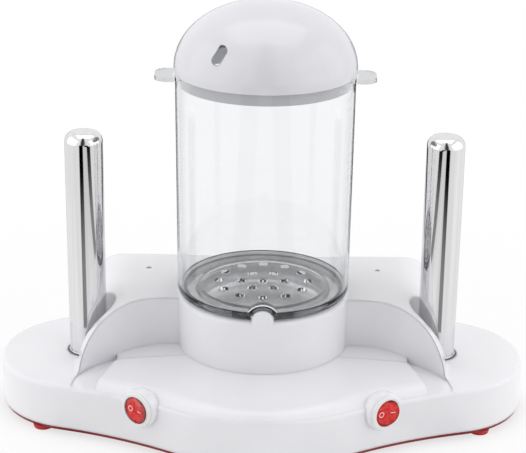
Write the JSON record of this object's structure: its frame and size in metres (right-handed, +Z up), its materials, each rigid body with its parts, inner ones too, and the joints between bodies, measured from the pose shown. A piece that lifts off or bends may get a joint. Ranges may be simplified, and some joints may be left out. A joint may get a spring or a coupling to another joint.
{
  "type": "hot dog toaster",
  "caption": "Table-top hot dog maker: lidded clear steaming cylinder on a heated water dish, with a heated bread spike on each wing and round rocker switches.",
  "frame": {"origin": "middle of the footprint on the table, under the feet", "axes": "+X to the right spike, +Y to the back, +Z up"},
  "size_m": [0.363, 0.189, 0.284],
  "materials": {
    "white_plastic": "gloss",
    "red_plastic": "satin",
    "red_rubber": "matte",
    "steel": "satin",
    "stainless": "satin",
    "silicone": "matte",
    "aluminium": "satin",
    "heater_tube": "matte",
    "clear_plastic": "clear gloss",
    "ivory_plastic": "matte",
    "black_rubber": "matte",
    "dark_plastic": "matte",
    "ceramic": "matte",
    "red_clear_plastic": "tinted gloss",
    "brass": "satin"
  },
  "bodies": {
    "base": {"bottom_plate": "red_plastic", "cord_grommet": "black_rubber", "dish_bridge": "steel", "dish_heater": "heater_tube", "dish_nut": "steel", "dish_seal": "silicone", "feet": "red_rubber", "heat_spreader": "aluminium", "heating_dish": "stainless", "holder_screws": "steel", "plate_screws": "steel", "spike_bush_left": "dark_plastic", "spike_bush_right": "dark_plastic", "spike_heater_left": "ceramic", "spike_heater_right": "ceramic", "spike_holder_left": "steel", "spike_holder_right": "steel", "spike_left": "stainless", "spike_right": "stainless", "switch_body_left": "white_plastic", "switch_body_right": "white_plastic", "switch_terminals_left": "brass", "switch_terminals_right": "brass", "terminal_block": "ivory_plastic", "thermostat": "aluminium", "upper_housing": "white_plastic"},
    "container": {"container": "clear_plastic", "container_floor": "clear_plastic", "key_hood": "clear_plastic"},
    "lid": {"lid": "white_plastic"},
    "rocker_left": {"rocker_left": "red_clear_plastic"},
    "rocker_right": {"rocker_right": "red_clear_plastic"}
  },
  "joints": [
    {"name": "container_lift", "type": "slide", "parent": "base", "child": "container", "axis": [0, 0, 1], "range_m": [0, 0.13]},
    {"name": "lid_lift", "type": "slide", "parent": "container", "child": "lid", "axis": [0, 0, 1], "range_m": [0, 0.06]},
    {"name": "rocker_left_turn", "type": "hinge", "parent": "base", "child": "rocker_left", "pos_m": [-0.08178, -0.06832, 0.032], "axis": [0, 0, 1], "range_deg": [0, 18]},
    {"name": "rocker_right_turn", "type": "hinge", "parent": "base", "child": "rocker_right", "pos_m": [0.08178, -0.06832, 0.032], "axis": [0, 0, 1], "range_deg": [0, 18]}
  ]
}
